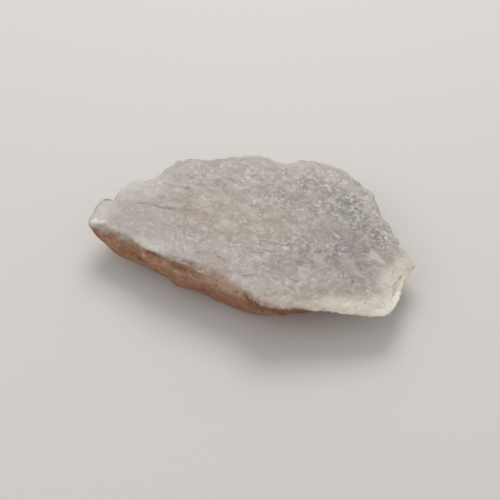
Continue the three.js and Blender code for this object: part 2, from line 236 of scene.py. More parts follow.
# What lies where
places = {
    "split": [                # the old split, from the left end
        (-27.3, 6.9), (-24.3, 6.3), (-20.8, 5.7), (-18.6, 4.9), (-17.4, 4.3), (-14.4, 4.1), (-12.9, 3.6),
        (-11.0, 3.2), (-7.6, 2.5),
    ],
    "splitShown": [           # where it still shows as a hairline
        (-18.9, 4.9, 3.4, 2.5, 0, 1.0), (-14.2, 4.0, 3.2, 2.5, 0, 0.7), (-24.0, 6.2, 3.0, 2.5, 0, 0.35),
        (-9.5, 3.0, 2.0, 2.0, 0, 0.25),
    ],
    "edgeCrack": [            # the crack by the right edge
        (29.5, -8.7), (29.1, -9.8), (28.2, -11.0), (27.5, -12.2), (26.9, -13.3),
    ],
    "facet": [                # corners of a smooth cleavage face
        (23.7, -3.3), (23.0, -5.8), (26.7, -7.5), (25.3, -5.1),
    ],
    "nicks": [                # chips out of the rim
        (22.3, 12.6, 1.3, 1.3, 0, 0.9), (26.0, 5.9, 1.1, 1.1, 0, 0.7), (29.4, -2.6, 1.2, 1.2, 0, 0.8),
        (-9.3, 18.0, 1.5, 1.5, 0, 0.6), (-5.6, 18.2, 1.0, 1.0, 0, 0.5),
    ],
    "lobe": [(-21.5, 10.5, 6.5, 4.5, 0, 1.0)],    # the white lobe behind the split
    "creamCorner": [          # cream rock at the right front corner and along the rims by it
        (27.8, -11.5, 2.6, 4.5, 15, 1.0), (25.0, -18.0, 4.0, 2.6, 0, 1.0),
        (23.0, -14.5, 4.0, 4.5, 0, 0.3), (30.4, -6.4, 2.4, 2.6, 0, 1.0), (29.2, -9.3, 1.8, 2.4, 0, 0.8),
        (12.0, -19.8, 14.0, 3.0, 0, 0.5), (17.0, -17.8, 4.5, 2.4, 0, 0.65),
    ],
    "bruised": [              # whitened by knocks, and at the left end painted light round its glints
        (-12.1, 16.1, 3.0, 1.4, 0, 0.6), (-3.3, 16.3, 3.2, 1.3, 0, 0.5), (2.9, 16.9, 2.4, 1.3, -10, 0.7),
        (9.3, 16.5, 3.2, 1.8, -5, 1.0), (16.5, 14.3, 3.4, 1.8, -15, 1.0), (20.6, 10.8, 1.5, 2.4, 15, 0.9),
        (23.9, 7.0, 1.2, 2.4, 15, 0.9), (23.8, 3.4, 0.9, 1.2, 0, 0.4), (27.2, -2.0, 1.2, 2.2, 20, 0.5),
        (-13.0, 10.8, 1.6, 3.0, 0, 0.5), (-25.5, 9.4, 3.2, 1.4, 30, 0.9), (-17.8, 5.4, 2.2, 0.7, 0, 0.4),
        (-25.4, -0.7, 1.8, 0.8, -15, 0.8), (-21.5, -3.0, 2.6, 0.9, -25, 0.7),
        (-18.0, -4.6, 2.5, 1.2, -20, 0.8), (-14.6, -5.9, 2.4, 1.0, -15, 0.6),
        (-8.0, -4.8, 1.2, 2.4, 0, 0.6), (-8.1, 0.4, 1.4, 1.2, 0, 0.35), (-0.6, -5.9, 1.3, 1.0, 0, 0.45),
        (3.7, -5.5, 1.3, 1.0, 0, 0.45), (10.9, -10.9, 3.0, 1.1, 0, 0.45), (5.1, -14.2, 1.6, 1.4, 0, 0.45),
        (12.7, -14.0, 1.8, 1.6, 0, 0.4), (12.2, 9.2, 1.4, 3.0, 0, 0.6), (-32.0, 2.2, 1.6, 1.2, 0, 1.0),
        (-24.1, 9.0, 1.4, 1.4, 0, 0.5), (10.1, -12.2, 2.0, 0.9, 0, 0.6), (5.2, -15.5, 1.2, 1.2, 0, 0.5),
        (4.7, 16.2, 1.4, 0.8, 0, 0.4), (28.0, -4.3, 1.2, 1.6, 20, 0.6), (-8.2, -15.0, 1.4, 0.8, 0, 0.5),
        (-1.2, 10.3, 3.6, 0.9, -20, 0.5), (-19.5, 12.2, 4.0, 1.2, 25, 0.3),
    ],
    "sunkenShade": [               # painted shade on shallow places
        (13.0, 15.9, 1.3, 0.9, 0, 0.7), (11.5, 9.9, 0.9, 0.8, 0, 0.5), (5.2, -10.2, 0.9, 1.6, 0, 0.5),
        (-6.9, -9.2, 1.2, 0.9, 0, 0.5), (-5.1, -15.2, 1.0, 1.2, 0, 0.4), (-9.5, -4.8, 0.9, 0.9, 0, 0.5),
        (20.9, -6.2, 1.2, 1.0, 0, 0.5), (9.8, -8.7, 1.4, 0.9, 0, 0.5), (7.4, 7.9, 3.0, 1.3, -5, 1.0),
        (14.2, -0.4, 3.0, 2.2, 0, 1.0), (20.0, -0.8, 2.8, 3.0, 0, 0.8), (-9.8, -2.9, 0.7, 2.6, 0, 0.5),
        (-17.0, 1.4, 1.6, 2.2, 0, 0.5), (10.0, -7.4, 1.3, 2.2, 0, 0.9), (3.0, 5.0, 1.4, 2.4, 0, 0.7),
        (10.4, 4.1, 1.3, 0.8, 0, 0.5), (1.4, 12.4, 3.0, 0.7, -27, 0.7), (-18.4, 9.0, 2.2, 0.9, 0, 0.35),
        (18.3, 6.1, 1.6, 0.8, 0, 0.4), (4.3, -9.6, 1.4, 1.6, 0, 0.5), (14.0, -10.0, 1.2, 1.2, 0, 0.5),
        (9.2, -4.9, 1.4, 0.9, 0, 0.6), (27.0, -6.8, 1.5, 1.6, 0, 0.6), (21.0, -12.8, 2.6, 1.3, 0, 0.6),
        (-3.9, -2.5, 1.0, 4.0, 0, 0.25), (-7.6, -9.9, 1.2, 0.6, 0, 0.5),
    ],
    "frontFade": [            # where the front rim fades into the flank: line, half width, strength
        ([(-17.0, -7.5), (-14.0, -8.6), (-11.0, -9.9)], 0.7, 0.4),
        ([(-13.5, -9.2), (-8.5, -11.0), (-5.6, -12.6), (-4.0, -13.8)], 1.3, 0.65),
        ([(-2.9, -15.0), (-0.6, -16.8), (2.0, -18.5), (6.3, -19.7), (10.5, -20.0)], 0.9, 0.6),
    ],
    "moss": [                 # greenish dirt along the front rim
        (-15.4, -7.7, 0.9, 0.4, -20, 0.35), (-12.9, -8.9, 0.6, 0.4, 0, 0.5),
        (-11.6, -9.4, 0.8, 0.4, -25, 0.6), (-9.9, -10.6, 0.9, 0.35, -25, 0.6),
        (-17.9, -7.2, 1.2, 0.45, -20, 0.6), (-20.0, -5.7, 0.6, 0.35, -20, 0.4),
        (-1.1, -16.6, 0.5, 0.7, 30, 0.5), (-4.2, -13.9, 0.6, 0.35, 0, 0.4),
        (-7.6, -11.8, 0.5, 0.35, 0, 0.4),
    ],
    "glitter": [              # clusters of crystals with painted glints
        (25.2, -16.4, 2.6, 2.0, 30, 1.0), (27.6, -13.6, 1.2, 2.2, -25, 0.6),
        (23.8, 8.9, 1.2, 2.3, 18, 0.9), (27.3, 1.3, 1.0, 1.9, 25, 0.8), (20.1, 8.6, 1.0, 0.8, 0, 0.7),
        (-2.0, 13.8, 9.0, 3.0, -8, 0.3), (13.0, 13.4, 7.0, 3.2, -15, 0.3),
        (-21.0, 10.5, 5.0, 2.5, 0, 0.15),
    ],
    "tip": [(-30.3, 4.2, 3.2, 3.0, 0, 0.9), (-26.0, 7.4, 3.6, 1.6, -10, 0.6)],    # the pale left end
    "whiteEdgeGlint": [          # bruised white edges, with painted glints on them at the right front corner, along the right edge and at the left end
        (24.4, -18.6, 2.6, 1.0, 10, 1.0), (26.4, -16.6, 1.2, 1.8, -25, 0.85),
        (26.8, -14.6, 0.9, 1.3, -20, 0.6), (29.7, -10.6, 0.7, 2.0, -22, 0.8),
        (28.6, -13.2, 0.8, 1.8, -22, 0.75), (27.9, -15.4, 0.8, 1.6, -22, 0.6),
        (-31.3, 2.3, 0.9, 0.7, 0, 0.9), (-29.5, 1.8, 1.0, 0.4, 0, 0.7),
    ],
    "warm": [(-4.2, 1.5, 17, 6.5, -12, 1.0), (8.0, -16.5, 12, 2.5, 0, 0.8)],    # tints
    "lilac": [
        (12.3, -6.9, 6.5, 2.9, -15, 1.0), (11.0, -3.3, 4, 3, 0, 0.7), (18.5, -4.5, 3.5, 3, 0, 0.7),
        (19.0, -11.0, 3.0, 1.8, 0, 0.6), (-3.0, 9.5, 7, 2.5, -8, 0.45), (2.0, -12.5, 4.5, 0.9, 3, 0.7),
    ],
    "grey": [(20.8, 4.8, 4.2, 4.2, 0, 1.0), (15.0, 9.5, 8, 4, -20, 0.5), (24.6, -0.5, 2.5, 3.0, 0, 0.5)],
    "olive": [
        (22.2, -4.2, 0.9, 2.0, 0, 0.9), (27.4, -4.9, 1.0, 1.5, 0, 0.7), (25.6, -2.0, 2.0, 2.0, 0, 0.35),
        (7.6, 7.9, 2.4, 1.0, -5, 0.4),
    ],
    "yellow": [(32.2, -7.6, 1.7, 0.9, 45, 1.0), (-32.4, 2.2, 0.6, 0.8, 0, 0.3)],
    "crystalline": [          # coarser, clearer crystals
        (20.5, 6.0, 5.5, 8.0, 15, 1.0), (25.5, -1.5, 3.5, 4.0, 0, 0.9), (9.0, -4.5, 5.0, 3.5, 0, 0.7),
        (2.0, 6.5, 3.5, 1.8, 0, 0.7), (-1.0, 13.5, 9.0, 3.0, -10, 0.4), (16.0, 12.5, 6.0, 4.0, 0, 0.5),
        (-13.5, -3.0, 5.5, 1.6, -15, 0.6), (27.0, -13.0, 3.0, 5.0, 15, 0.4),
    ],
    "pits": [
        (19.6, -12.4, 0.22, 0.22, 0, 1.0), (14.4, -15.0, 0.25, 0.2, 20, 0.5),
        (21.3, 8.3, 0.3, 0.25, 0, 0.7), (21.4, 6.2, 0.25, 0.3, 0, 0.8), (8.7, -13.4, 0.3, 0.2, 60, 0.4),
        (17.0, -11.0, 0.2, 0.35, 15, 0.45),
    ],
    "darkLines": [
        ([(-7.2, -7.0), (-6.2, -8.3), (-4.9, -9.6)], 0.28, 0.6),
        ([(0.2, 13.4), (2.8, 12.4), (5.9, 10.7)], 0.22, 0.35),
        ([(-17.9, -3.0), (-16.6, -2.6), (-15.0, -1.7)], 0.3, 0.3),
        ([(22.9, -14.2), (24.9, -14.2)], 0.2, 0.35),
        ([(18.2, 7.2), (21.5, 7.0)], 0.2, 0.5),
        ([(10.4, 11.4), (11.8, 10.4)], 0.25, 0.45),
        ([(22.9, -6.6), (25.4, -8.0)], 0.25, 0.4),
    ],
    # pale streaks of whitish crystals; some of them are painted glints
    "paleLines": [
        ([(13.4, 3.9), (15.2, 4.6)], 0.28, 0.6),
        ([(16.2, -0.8), (17.6, -2.2)], 0.35, 0.7),
        ([(0.4, 6.6), (2.2, 6.2)], 0.45, 0.5),
        ([(6.2, -5.1), (7.6, -5.7)], 0.4, 0.9),
        ([(1.5, 2.9), (2.0, 2.7)], 0.25, 0.9),
        ([(9.0, -10.4), (10.3, -10.0)], 0.4, 0.8),
        ([(16.9, 4.2), (18.3, 3.0)], 0.3, 0.7),
        ([(24.2, 6.9), (25.8, 4.6)], 0.35, 0.6),
        # these four at the right front corner and the two after them at the left end are painted glints
        ([(24.1, -18.5), (24.7, -18.3)], 0.4, 1.0),
        ([(25.5, -17.9), (26.2, -17.3)], 0.4, 0.9),
        ([(25.5, -16.3), (26.0, -15.6)], 0.3, 0.9),
        ([(28.0, -13.9), (28.3, -13.4)], 0.25, 0.8),
        ([(-31.3, 2.1), (-30.7, 2.5)], 0.5, 1.0),
        ([(-29.9, 1.7), (-29.0, 1.9)], 0.45, 0.9),
        ([(-31.4, 1.3), (-27.0, 0.1)], 0.3, 0.6),
    ],
    "tipWall": [(-28.8, 0.2, 2.0, 0.6, -20, 1.0)],    # a low wall at the left end that counts as side
}
frontPlaces = {               # on the worn flank: along the slab, and down from the broad face
    "bumps": [                # lumps and hollows in the shape
        (-21.0, 2.2, 0.6, 1.4, 0, 1.0), (-26.5, 2.6, 1.6, 0.7, 0, 0.6), (-17.6, 2.6, 1.6, 0.7, -20, 0.5),
    ],
    "dips": [
        (-19.1, 1.2, 1.4, 0.5, 0, 1.0), (-23.4, 3.2, 1.0, 0.6, 0, 0.8), (-0.4, 2.4, 0.9, 1.6, 0, 0.8),
    ],
    "oliveBand": [            # stains and bare places
        (-25.2, 0.9, 2.4, 0.8, 0, 0.9), (-22.3, 0.75, 1.1, 0.4, 0, 0.6), (-20.0, 0.5, 2.0, 0.3, 0, 0.4),
    ],
    "brown": [
        # the first brown spot is painted shadow beside the lit ridge
        (-19.0, 1.2, 1.4, 0.5, 0, 0.8), (-23.5, 3.3, 1.2, 0.5, 10, 0.7), (-28.0, 1.2, 0.9, 0.5, 0, 0.4),
        (-21.9, 3.9, 1.2, 0.7, 0, 0.7), (-25.6, 2.3, 0.7, 0.4, 0, 0.4), (-14.8, 5.6, 1.6, 0.9, 0, 0.6),
        (-0.4, 2.2, 0.9, 2.4, 0, 0.7), (0.8, 1.5, 0.8, 1.6, 0, 0.6), (-17.0, 3.8, 2.2, 0.5, -20, 0.4),
        (-13.4, 1.9, 1.3, 0.5, 0, 0.5), (-9.0, 5.2, 1.4, 0.8, 0, 0.7), (-11.0, 4.2, 0.8, 0.5, 0, 0.5),
    ],
    "red": [
        (-21.8, 3.0, 0.8, 0.8, 0, 0.5), (-15.8, 4.2, 1.1, 0.7, 0, 0.8), (-28.2, 3.2, 1.4, 0.9, 0, 0.5),
        (-24.8, 2.4, 1.0, 0.5, 0, 0.5), (-3.5, 5.0, 2.0, 1.0, 0, 0.5),
    ],
    "pink": [
        # the first pink spot is a painted highlight on the ridge
        (-20.9, 2.0, 0.5, 1.1, 0, 0.9), (-18.5, 3.0, 1.8, 0.7, -10, 0.5), (-27.0, 2.3, 1.2, 0.6, 0, 0.4),
        (-14.4, 2.9, 1.6, 0.8, 0, 0.7), (-11.0, 2.6, 1.5, 0.6, 0, 0.6), (-16.8, 1.9, 1.0, 0.8, 0, 0.6),
        (-12.6, 1.0, 0.8, 0.5, 0, 0.5), (-8.6, 2.2, 1.4, 0.6, -15, 0.6), (-7.5, 3.2, 1.2, 0.6, 0, 0.4),
    ],
    "paleFlank": [
        (-4.6, 1.3, 3.9, 1.7, 0, 1.25), (-9.0, 1.2, 2.0, 0.8, 0, 0.3), (-29.5, 0.9, 1.8, 0.4, 0, 0.6),
    ],
    "ochre": [
        (-24.6, 4.1, 1.0, 0.5, 0, 0.9), (-26.5, 3.6, 1.0, 0.5, 0, 0.4), (-11.0, 1.3, 2.5, 0.5, 0, 0.6),
        (-6.5, 3.6, 3.0, 0.8, 0, 0.5),
    ],
}

# How the places end, how uneven they are, and how they add up
zones = {
    "borders": {              # in plan: shares of x and y, and the sums in mm where a zone starts and is full
        "stripRight": (1.0, 0.3, -10.0, -20.0),
        "stripFront": (0.35, 1.0, -12.0, -9.4),
        "glassyBack": (0.45, 1.0, -6.0, 4.0),
        "front": (0.45, 1.0, -3.0, -8.0),
        "frontAhead": (0.0, 1.0, 6.6, 3.8),
        "frontMost": (0.45, 1.0, -5.0, -8.0),
        "frontRimBack": (0.45, 1.0, 5.0, 1.0),
        "frontRimRight": (1.0, 0.0, 12.0, 6.0),
        "wornRight": (1.0, 0.0, 19.0, 11.0),
        "stainRight": (1.0, -0.6, 36.0, 16.0),
        "stainBack": (0.2, 1.0, 14.0, 2.0),
        "mossRight": (1.0, 0.0, -4.0, -8.0),
        "whiteLeft": (1.0, 0.0, 20.0, 24.0),
        "creamLeft": (1.0, 0.0, 10.0, 17.0),
        "creamBack": (0.0, 1.0, -3.5, -8.0),
        "creamSideLeft": (1.0, 0.0, 12.0, 20.0),
        "creamSideBack": (0.0, 1.0, 2.0, -4.0),
        "orangeBack": (1.0, -0.5, 3.0, 8.0),
        "orangeLeft": (1.0, 0.0, -5.0, 0.5),
        "orangeRight": (1.0, 0.0, 15.0, 8.0),
        "orangeFront": (0.0, 1.0, -12.5, -17.5),
    },
    "depths": {               # mm below the broad face where a zone starts and is full
        "rimDirt": (1.7, 0.8),
        "moss": (1.5, 0.9),
        "whiteEdgeGlint": (1.8, 0.9),
        "stain": (0.2, 1.6),
        "deepStain": (3.2, 7.0),
        "orange": (4.6, 0.5),
        "creamSide": (6.5, 2.5),
    },
    "means": {                # reach in mm of a mean along the surface, and where a zone starts and is full
        "face": (0.3, 0.52, 0.82),
        "filled": (1.2, 0.7, 0.95),
        "facesFront": (0.6, 0.45, -0.2),
    },
    "rims": {                 # bands of the broad face along its rim: reach in mm, and gain
        "rim": (1.1, 2.2),
        "glassRim": (1.3, 2.4),
        "frontRim": (1.8, 2.2),
        "creamEdge": (0.6, 2.4),
    },
    "waves": {                # lumps that borders wander by: height in mm, size in mm and shift
        "rim": [(0.12, 1.6, 0.0), (0.14, 0.7, 5.0), (0.08, 0.4, 9.0)],
        "stain": [(7.0, 4.0, 2.0), (7.0, 1.5, 4.0), (6.0, 0.6, 6.0)],
        "deepStain": [(2.0, 2.4, 9.0)],
        "worn": [(3.0, 3.0, 51.0)],
    },
    "wander": {               # borders and depths that wander: by which waves, and how much of them
        "stripRight": ("rim", 12.0),
        "stripFront": ("rim", 3.0),
        "frontAhead": ("stain", 0.3),
        "wornRight": ("worn", 1.0),
        "stainRight": ("stain", 1.0),
        "orangeLeft": ("stain", 0.35),
        "orangeRight": ("stain", 0.5),
        "orangeFront": ("rim", 4.0),
        "orange": ("stain", 0.25),
        "stain": ("rim", 2.0),
        "deepStain": ("deepStain", 1.0),
        "creamSide": ("rim", 2.0),
    },
    "patches": {              # size in mm and shift of the lumps, where a patch starts and is full, least
        "glassRim": (4.5, 21.0, -0.3, 0.35, 0.35),
        "rimDirt": (0.8, 13.0, -0.1, 0.3, 0.35),
        "backStain": (9.0, 2.0, -0.1, 0.5, 0.0),
        "clusters": (3.2, 7.0, -0.25, 0.4, 0.0),
        "creased": (2.4, 17.0, -0.1, 0.35, 0.0),
    },
    "uneven": {               # middle, lumps as for the waves, least and most
        "split": (0.7, [(0.5, 1.1, 8.0)], 0.2, 1.0),
        "cracks": (0.7, [(0.5, 1.1, 8.0)], 0.3, 1.0),
        "frontMarks": (0.9, [(0.9, 0.7, 33.0)], 0.3, 1.3),
        "frontFade": (0.8, [(1.0, 1.3, 27.0), (0.8, 0.5, 28.0)], 0.0, 1.0),
        "whiteEdgeGlint": (0.9, [(1.0, 0.6, 71.0)], 0.2, 1.0),
        "orange": (1.05, [(0.7, 0.5, 61.0)], 0.5, 1.0),
    },
    "picks": {                # by a grain's number: 0 coarse to 2 fine, where it starts and is full, strength
        "milkyFine": (2, 0.8, 0.94, 0.7),
        "milkyMiddle": (1, 0.8, 0.95, 0.15),
        "glitterFine": (2, 0.55, 0.75, 0.6),
        "shadyFine": (2, 0.3, 0.08, 0.6),
        "shadyMiddle": (1, 0.3, 0.08, 0.6),
        "rimMiddle": (1, 0.6, 0.9, 0.5),
    },
    "shares": {               # how much each zone adds
        "smooth": {"strip": 0.45, "lobe": 0.2, "creamCorner": 0.15, "worn": 0.55, "facet": 1.0,
                   "glassRim": 0.5, "brokenSide": 0.35, "crystalline": -0.45},
        "milky": {"all": 0.2, "clusters": 0.6, "glitter": 0.8, "crystalline": 0.25},
        "sparkle": {"all": 0.1, "clusters": 0.4, "crystalline": 0.6, "creamCorner": 0.9, "glitter": 1.0},
        "shady": {"all": 0.1, "crystalline": 0.4},
        "crystal": {"all": 0.3, "crystalline": 0.7},
        "stain": {"front": 1.0, "back": 0.35},
        "moss": {"spots": 1.0, "dirt": 0.22},
        "dark": {"splitCrack": 0.55, "edgeCrack": 0.85, "darkLines": 0.9, "pits": 1.0},
        "frontRim": {"all": 0.2, "middle": 0.45, "coarse": 0.35},
        "paleLines": {"all": 0.4, "fine": 0.6},
        "blush": {"side": 0.5, "fade": 1.0},
        "orange": {"side": 1.0, "rim": 1.2},
    },
    "lost": {                 # share of a mark that is lost where another zone lies
        "inSunkenShade": 0.6,
        "sparkleOnStrip": 0.5,
        "frontOnFace": 0.6,
        "rimOnStrip": 0.6,
        "glassInGlitter": 0.7,
    },
    "splitSoft": 0.3,         # mm to both sides of the split
    "facetSoft": 0.22,        # mm to both sides of the cleavage face's outline
    "edgeCrackEnds": (-0.05, 0.2, 1.0, 0.5),    # shares of its way where it starts and ends
    "sideReach": 0.9,         # mm that the colour of the sides shows over the rim
    "hollowReach": 0.6,       # mm, the surroundings that a high or hollow grain is held against
    # high grains are painted lighter and hollow ones darker: painted light and shade of the grain relief
    "high": (0.005, 0.05),    # mm above them where a grain starts to count as high, and counts fully
    "hollowShade": (-0.01, -0.06),
}


def wander(border):    # how far it is pushed to and fro, mm
    wave, amount = zones["wander"].get(border, ("none", 0.0))
    return amount * waves[wave]


def past(border):    # 0 before a border, 1 past it
    shareX, shareY, start, full = zones["borders"][border]
    return smoothstep(start, full, shareX * x + shareY * y + wander(border))


def atDepth(zone):    # by the depth below the broad face
    return smoothstep(*zones["depths"][zone], down + wander(zone))


def meanStep(zone, values, waver=0.0):    # by the mean of the values around a point
    reach, start, full = zones["means"][zone]
    return smoothstep(start, full, blurred(values, reach) + waver)


def alongRim(band):    # 1 on the broad face at its rim, and less inwards
    reach, gain = zones["rims"][band]
    return up * np.clip(gain * blurred(sides, reach), 0, 1)


def onEdge(reach):    # 1 on the rim itself, and less to both sides
    share = blurred(up, reach)
    return np.clip(4 * share * (1 - share), 0, 1)


def patchy(zone, points):    # breaks a zone up into patches
    size, shift, start, full, least = zones["patches"][zone]
    return least + (1 - least) * smoothstep(start, full, lumpsAt(points, size, shift))


def uneven(zone):    # makes a mark stronger here and weaker there
    middle, lumps, least, most = zones["uneven"][zone]
    return np.clip(middle + lumpSum(co, lumps), least, most)


def picked(pick):    # the grains whose own number is past a limit
    scale, start, full, strength = zones["picks"][pick]
    return strength * smoothstep(start, full, tones[scale])


def added(weights, **parts):    # each part by its weight
    return sum(weights[name] * values for name, values in parts.items())


def without(name, values):    # what is left of a mark where another zone lies
    return 1 - zones["lost"][name] * values


fromSplit = fromLine(places["split"])[0]
fromEdgeCrack, alongEdgeCrack = fromLine(places["edgeCrack"])
shares = zones["shares"]
waves = {name: lumpSum(co, zones["waves"][name]) for name in ("rim", "stain", "worn")} | {"none": 0.0}
face = meanStep("face", normals[:, 2], waves["rim"])
up = np.maximum(face, meanStep("filled", face))    # small walls on the broad face count as face
up *= 1 - spots(places["tipWall"])
sides = 1 - up
fallOut, fall = stone["crownFall"]
crown = stone["crownTop"] - (x - stone["crownAt"]) ** 2 / (2 * stone["crownRadius"])
crown -= fall * (y / fallOut) ** 2
down = crown - z              # mm below the broad face
strip = up * smoothstep(zones["splitSoft"], -zones["splitSoft"], fromSplit)
strip *= past("stripRight") * past("stripFront")
lobe = up * spots(places["lobe"])
creamCorner = up * spots(places["creamCorner"])
crystalline = up * spots(places["crystalline"])
facet = up * inside(places["facet"], zones["facetSoft"])
# a smooth pale band along the back and right rims: painted glow of the thin translucent edge
glassRim = alongRim("glassRim") * past("glassyBack") * (1 - strip) * patchy("glassRim", co)
facesFront = meanStep("facesFront", normals[:, 1])
frontSide = sides * past("front") * facesFront * past("frontAhead")
worn = frontSide * past("wornRight")    # waxy and stained
broken = 1 - worn                       # all else shows the grain of a break
brokenSide = broken * sides
# paler along the rim: painted glow of the thin translucent edges
rim = alongRim("rim")
print("places found")


# Each grain breaks on a flat cleavage face of its own: the face's height, and a number a grain
def grainFaces(points, size, lean, step, random):
    play = stone["grainPlay"] * size
    covered = stone["grainFill"] * size * size
    count = int(pointCount * stone["voxel"] ** 2 / covered / stone["grainStretch"])
    seeds = points[random.choice(pointCount, count, replace=False)]
    seeds = seeds + random.normal(0, play, (count, 3))
    tree = kdtree.KDTree(count)
    for i, seed in enumerate(seeds):
        tree.insert(seed, i)
    tree.balance()
    owner = np.array([tree.find(p)[1] for p in points])
    slopes = random.uniform(-1, 1, (count, 3)) * math.tan(math.radians(lean))
    offsets = random.uniform(-1, 1, count) * step
    height = ((points - seeds[owner]) * slopes[owner]).sum(1) + offsets[owner]
    return np.clip(height, -play, play), random.random(count)[owner]


# Grain, lumps, pits, cracks and chips, moved along the surface normal
random = np.random.default_rng(stone["seed"])
grainSpace = lineated(co, stone["grainStretch"])
smoothness = added(shares["smooth"], strip=strip, lobe=lobe, creamCorner=creamCorner, worn=worn,
                   facet=facet, glassRim=glassRim, brokenSide=brokenSide, crystalline=crystalline)
grainy = np.clip(1 - smoothness, *stone["grainyRange"])
lift = np.zeros(pointCount)
tones = []    # each grain's own number, at every point
for size, lean, step in stone["grains"]:
    height, tone = grainFaces(grainSpace, size, lean, step, random)
    lift += grainy * height
    tones.append(tone)
coarseTone, middleTone, fineTone = tones
sideRoom = brokenSide * (1 - onEdge(stone["sideGrainRoom"]))
for size, lean, step in stone["sideGrains"]:
    height = grainFaces(co, size, lean, step, random)[0]
    lift += sideRoom * np.clip(height, -stone["sideGrainMost"], stone["sideGrainMost"])
for size, height in stone["swell"]:
    swollen = stone["swellLeast"] + (1 - stone["swellLeast"]) * np.minimum(grainy, 1)
    lift += height * swollen * lumpsAt(grainSpace, size, size)
for size, height in stone["flankSwell"]:
    lift += height * sides * lumpsAt(co, size, size)
print("grain cut")

edgeBand = onEdge(stone["chipReach"])
chipShift, chipStart, chipFull = stone["chipPatch"]
for size, depth in stone["rimChips"]:
    lift -= depth * edgeBand * smoothstep(chipStart, chipFull, lumpsAt(co, size, chipShift))
bumps = spots(frontPlaces["bumps"], x, down) - spots(frontPlaces["dips"], x, down)
lift += stone["bumpHeight"] * worn * bumps
stray, straySize = stone["ledgeWander"]
patchSize, patchStart, patchFull = stone["ledgePatch"]
rise = stone["ledgeRise"]
for direction, spacing, height in stone["cleavage"]:
    along = co @ np.array(direction) / spacing + stray * lumpsAt(co, straySize, spacing)
    share = along - np.floor(along)
    ledge = np.minimum(share / rise, (1 - share) / (1 - rise)) - 0.5
    shown = sideRoom * smoothstep(patchStart, patchFull, lumpsAt(co, patchSize, 2 * spacing))
    lift += height * ledge * shown
crackStart, crackOn, crackEnd, crackOff = zones["edgeCrackEnds"]
pits = up * spots(places["pits"])
splitCrack = up * np.exp(-(fromSplit / stone["crackWidth"]) ** 2)
splitCrack *= spots(places["splitShown"]) * uneven("split")
edgeCrack = np.exp(-(fromEdgeCrack / stone["crackWidth"]) ** 2) * uneven("cracks")
edgeCrack *= smoothstep(crackStart, crackOn, alongEdgeCrack)
edgeCrack *= smoothstep(crackEnd, crackOff, alongEdgeCrack)
darkLines = up * strokes(places["darkLines"]) * uneven("cracks")
paleLines = up * strokes(places["paleLines"]) * added(shares["paleLines"], all=1, fine=fineTone)
lift -= added(stone["cut"], nicks=edgeBand * spots(places["nicks"]), pits=pits, splitCrack=splitCrack,
              edgeCrack=edgeCrack, darkLines=darkLines, paleLines=paleLines)

# The split is healed but for a hairline: its wall is eased into a gentle step
healed = up * np.exp(-(fromSplit / stone["healedWidth"]) ** 2)
co[:, 2] += healed * (blurred(z, stone["healedReach"]) - z)

keepFlat = smoothstep(*stone["restFace"], z)    # the face it rests on stays as it is
low, high = (np.array(corner) / mm for corner in cadBox)
outward = normals * np.array([1, 1, 0])
outward /= np.maximum(np.linalg.norm(outward, axis=1), stone["leastLean"])[:, None]
co += outward * (stone["rimOut"] * edgeBand * keepFlat)[:, None]
co = co + normals * (keepFlat * (lift - stone["edgeRoom"]))[:, None]
co = np.clip(co, low, high)
slab.data.vertices.foreach_set("co", (co * mm).ravel())
slab.data.update()
co = meshArrays(slab.data)[0]
print("pits, cracks and chips cut:", round(float(lift.min()), 3), "to", round(float(lift.max()), 3), "mm")


# What the material reads, one number a point for each kind of place
# Grains above their surroundings get painted light, partly also the whitening of their bruised tops, and
# grains below them get painted shade
hollowness = lift - blurred(lift, zones["hollowReach"])
clusters = patchy("clusters", grainSpace)
glitter = spots(places["glitter"])
# painted shade on shallow places, which also dims the flecks and glints there
sunkenShade = up * spots(places["sunkenShade"])
milky = added(shares["milky"], all=1, clusters=clusters, glitter=glitter, crystalline=crystalline)
# the glitter adds painted glints to the milky flecks
milky = milky * (picked("milkyFine") + picked("milkyMiddle")) + glitter * picked("glitterFine")
milky *= without("inSunkenShade", sunkenShade)
# painted glints on single crystals
sparkle = added(shares["sparkle"], all=1, clusters=clusters, crystalline=crystalline,
                creamCorner=creamCorner, glitter=glitter)
sparkle = np.clip(sparkle, 0, 1) * np.clip(grainy + glitter, 0, 1)
sparkle *= without("inSunkenShade", sunkenShade) * without("sparkleOnStrip", strip)
shady = added(shares["shady"], all=1, crystalline=crystalline)
shady *= picked("shadyFine") + picked("shadyMiddle")
sideNear = blurred(sides, zones["sideReach"])
frontMost = past("frontMost") * without("frontOnFace", up) * facesFront * uneven("frontMarks")
frontFade = strokes(places["frontFade"]) * uneven("frontFade")
frontRim = alongRim("frontRim") * past("frontRimBack") * past("frontRimRight")
frontRim *= without("rimOnStrip", strip) * (1 - frontFade)
stainReach = past("stainRight") * past("stainBack")
backStain = sides * (1 - stainReach) * patchy("backStain", co)
rimDirt = patchy("rimDirt", co) * atDepth("rimDirt")
waves["deepStain"] = lumpSum(co, zones["waves"]["deepStain"])
